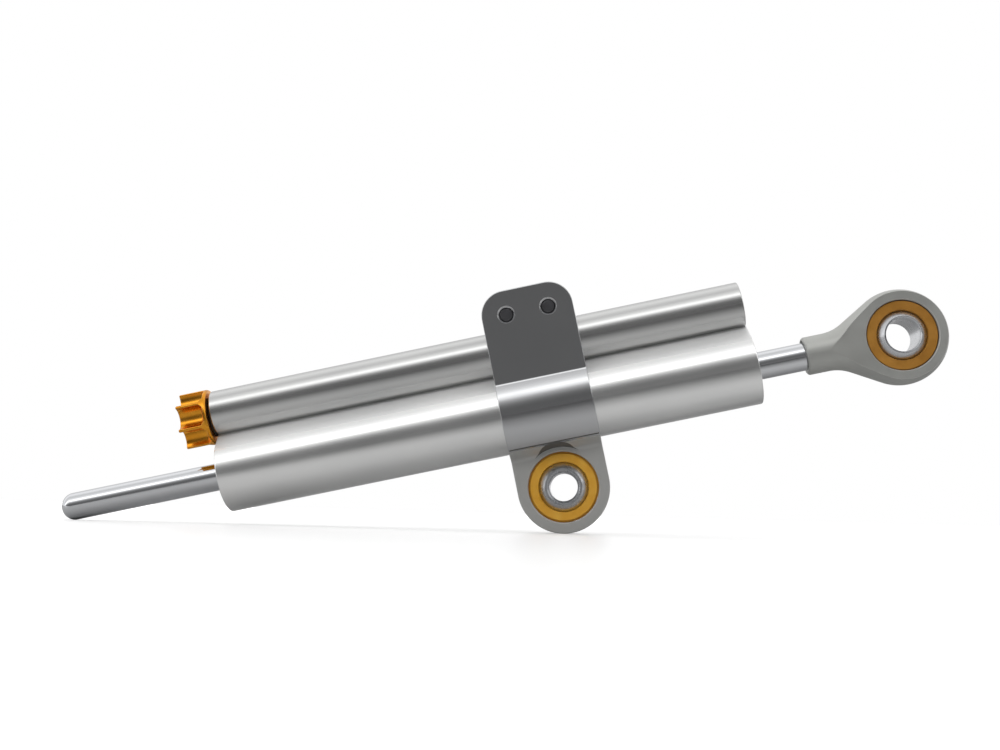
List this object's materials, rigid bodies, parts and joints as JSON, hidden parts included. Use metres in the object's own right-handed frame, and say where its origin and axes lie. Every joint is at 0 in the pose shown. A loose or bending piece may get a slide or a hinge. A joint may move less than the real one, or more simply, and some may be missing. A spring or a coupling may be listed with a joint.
{
  "type": "steering damper",
  "caption": "Through rod motorcycle steering damper: twin tube body with a clamp and a lobed adjuster knob, and a rod eye, both with spherical bearings.",
  "frame": {"origin": "centre of the spherical bearing in the lug of the clamp", "axes": "+X along the rod towards the rod eye, +Z from the lug towards the bypass tube, +Y along the bearing bores to the side of the clamp screw heads"},
  "size_m": [0.2609, 0.028, 0.0707],
  "materials": {
    "body_aluminium": "satin, fine lengthwise grain",
    "clamp_aluminium": "fine brushed, nearly polished",
    "head_aluminium": "turned",
    "eye_metal": "matt, fine blasted",
    "hard_chrome": "mirror",
    "orange_anodised": "orange anodised, satin",
    "bright_brass": "bright turned",
    "dull_brass": "dull turned",
    "bronze": "sintered bronze",
    "bearing_steel": "ground and polished",
    "dark_steel": "blackened",
    "spring_steel": "drawn",
    "seal_rubber": "matt black",
    "glide_plastic": "bronze filled plastic"
  },
  "bodies": {
    "damper_body": {"body": "body_aluminium", "clamp": "clamp_aluminium", "clamp_screws": "dark_steel", "clamp_race": "bright_brass", "seal_head_left": "head_aluminium", "seal_head_right": "head_aluminium", "rod_bush_left": "bronze", "rod_bush_right": "bronze", "rod_seal_left": "seal_rubber", "rod_seal_right": "seal_rubber", "rod_wiper_left": "seal_rubber", "rod_wiper_right": "seal_rubber", "head_o_ring_left": "seal_rubber", "head_o_ring_right": "seal_rubber", "retaining_ring_left": "spring_steel", "retaining_ring_right": "spring_steel", "valve_body": "head_aluminium", "valve_o_ring": "seal_rubber", "valve_seat": "bright_brass", "detent_ball": "bearing_steel", "detent_spring": "spring_steel", "knob_o_ring": "seal_rubber", "reservoir_plug": "body_aluminium", "plug_o_ring": "seal_rubber", "comp_spring": "spring_steel"},
    "rod_assembly": {"piston_rod": "hard_chrome", "piston": "head_aluminium", "piston_glide_ring": "glide_plastic", "piston_o_ring": "seal_rubber", "piston_shims": "spring_steel", "piston_clips": "spring_steel", "rod_eye": "eye_metal", "eye_race": "dull_brass"},
    "clamp_bearing_ball": {"clamp_ball": "bearing_steel"},
    "eye_bearing_ball": {"eye_ball": "bearing_steel"},
    "knob_assembly": {"adjuster_knob": "orange_anodised", "knob_grub_screw": "dark_steel"},
    "needle_assembly": {"adjuster_needle": "bearing_steel", "needle_o_ring": "seal_rubber"},
    "compensator": {"comp_piston": "head_aluminium", "comp_o_ring": "seal_rubber"}
  },
  "joints": [
    {"name": "rod_slide", "type": "slide", "parent": "damper_body", "child": "rod_assembly", "axis": [1, 0, 0], "range_m": [-0.0123, 0.043]},
    {"name": "knob_turn", "type": "hinge", "parent": "damper_body", "child": "knob_assembly", "pos_m": [-0.1, 0, 0.0404], "axis": [1, 0, 0], "range_deg": [-270, 270]},
    {"name": "needle_slide", "type": "slide", "parent": "knob_assembly", "child": "needle_assembly", "axis": [1, 0, 0], "range_m": [-0.00076, 0.00076]},
    {"name": "clamp_swivel", "type": "hinge", "parent": "damper_body", "child": "clamp_bearing_ball", "pos_m": [0, 0, 0], "axis": [0, 1, 0], "continuous": true},
    {"name": "eye_swivel", "type": "hinge", "parent": "rod_assembly", "child": "eye_bearing_ball", "pos_m": [0.1017, 0, 0.0229], "axis": [0, 1, 0], "continuous": true},
    {"name": "comp_slide", "type": "slide", "parent": "damper_body", "child": "compensator", "axis": [1, 0, 0], "range_m": [-0.001, 0.004], "stiffness_N_per_m": 500, "deforming": ["comp_spring"]}
  ],
  "couplings": [
    {"joint": "needle_slide", "follows": "knob_turn", "m_per_rad": 0.00015915}
  ]
}
